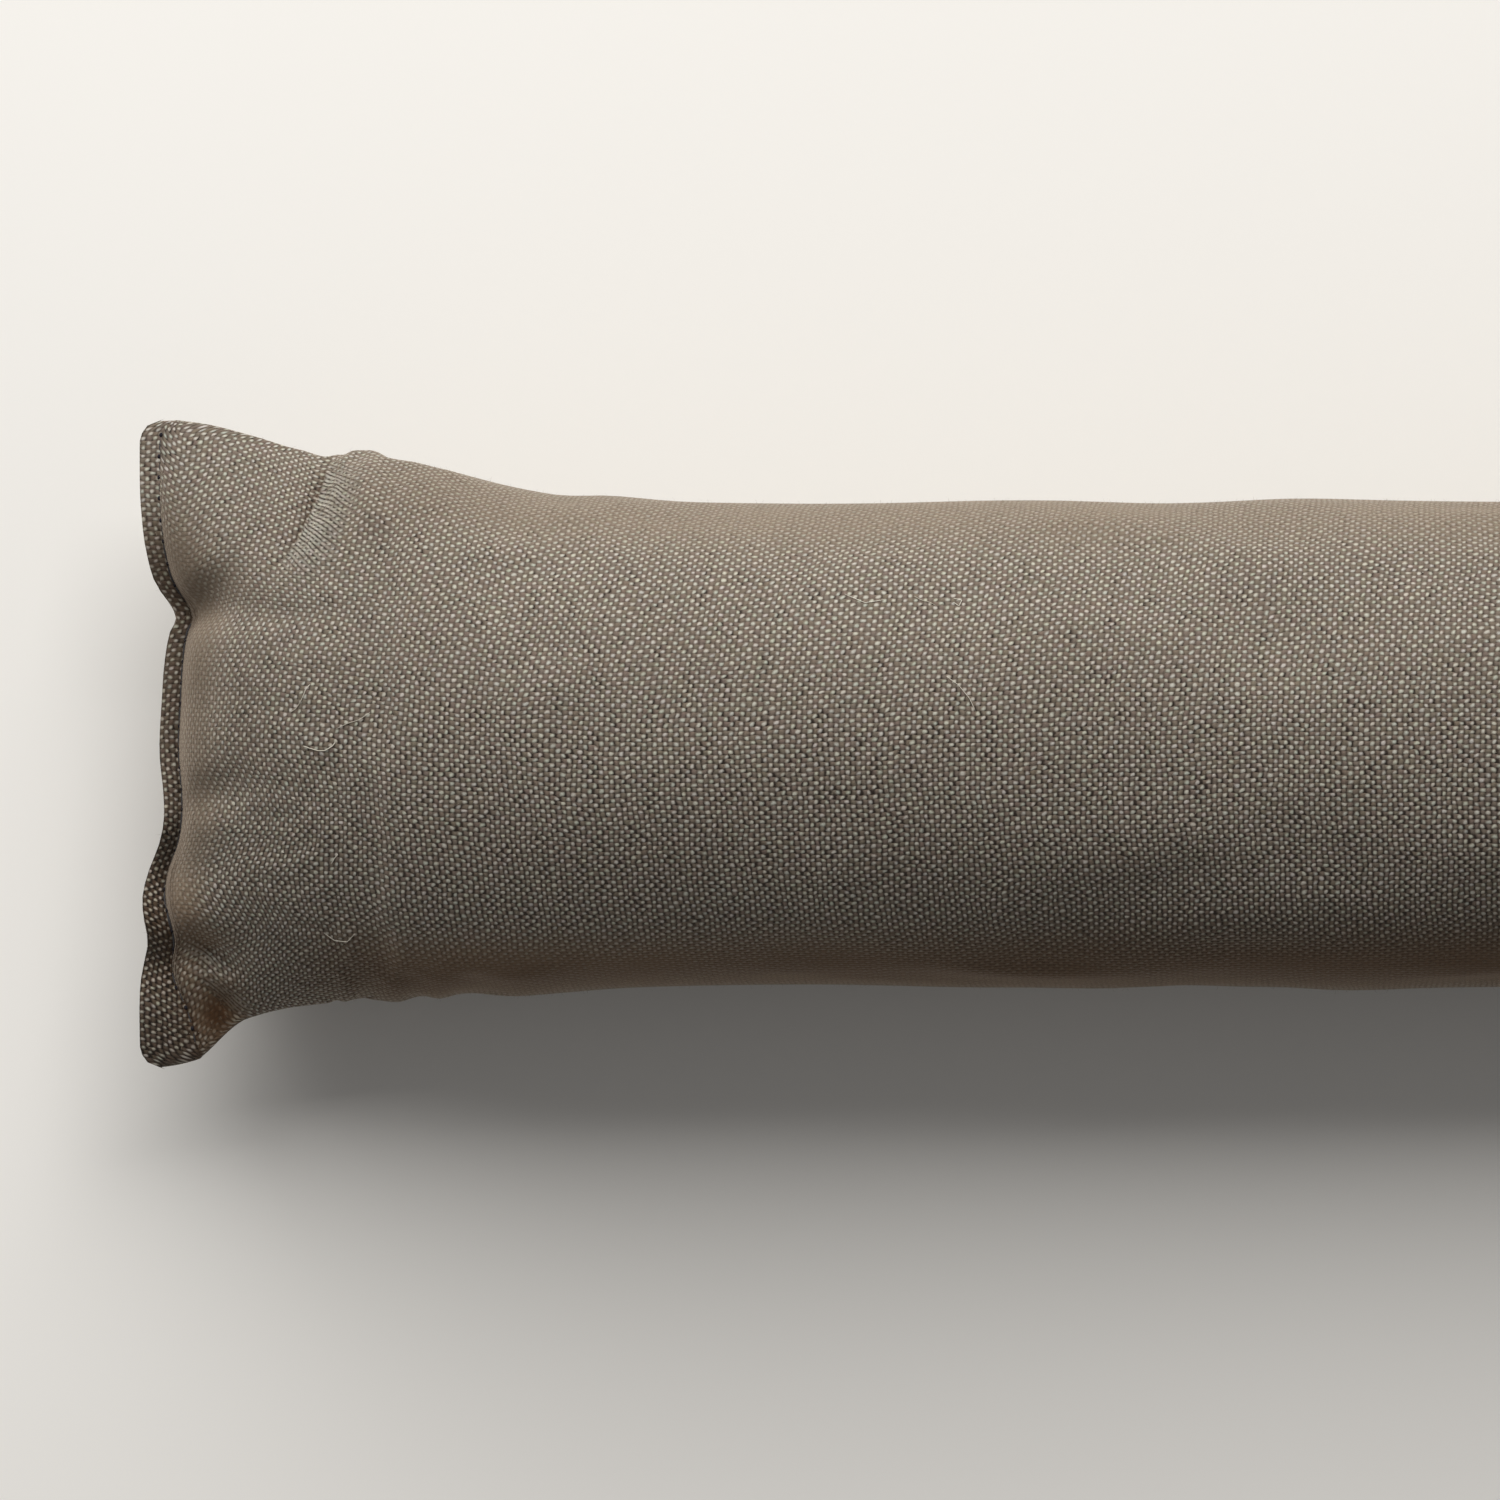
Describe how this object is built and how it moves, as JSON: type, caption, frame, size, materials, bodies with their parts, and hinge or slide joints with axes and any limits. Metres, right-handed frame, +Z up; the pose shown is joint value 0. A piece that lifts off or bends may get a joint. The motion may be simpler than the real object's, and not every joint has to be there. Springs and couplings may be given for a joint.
{
  "type": "draught excluder",
  "caption": "Long stuffed cloth tube that lies along the foot of a door, oval in section, flat underneath, each end drawn in by folds to a flat stitched lip with an ear at each corner.",
  "frame": {"origin": "under the middle of the tube, on the surface that it lies on", "axes": "+X along the tube, towards the end that the picture doesn't show; +Y across it, towards the back; +Z up"},
  "size_m": [0.9, 0.135, 0.0897],
  "materials": {
    "cover_cloth": "coarse plain weave, matt"
  },
  "bodies": {
    "root": {"stuffed_cover": "cover_cloth"}
  },
  "joints": []
}
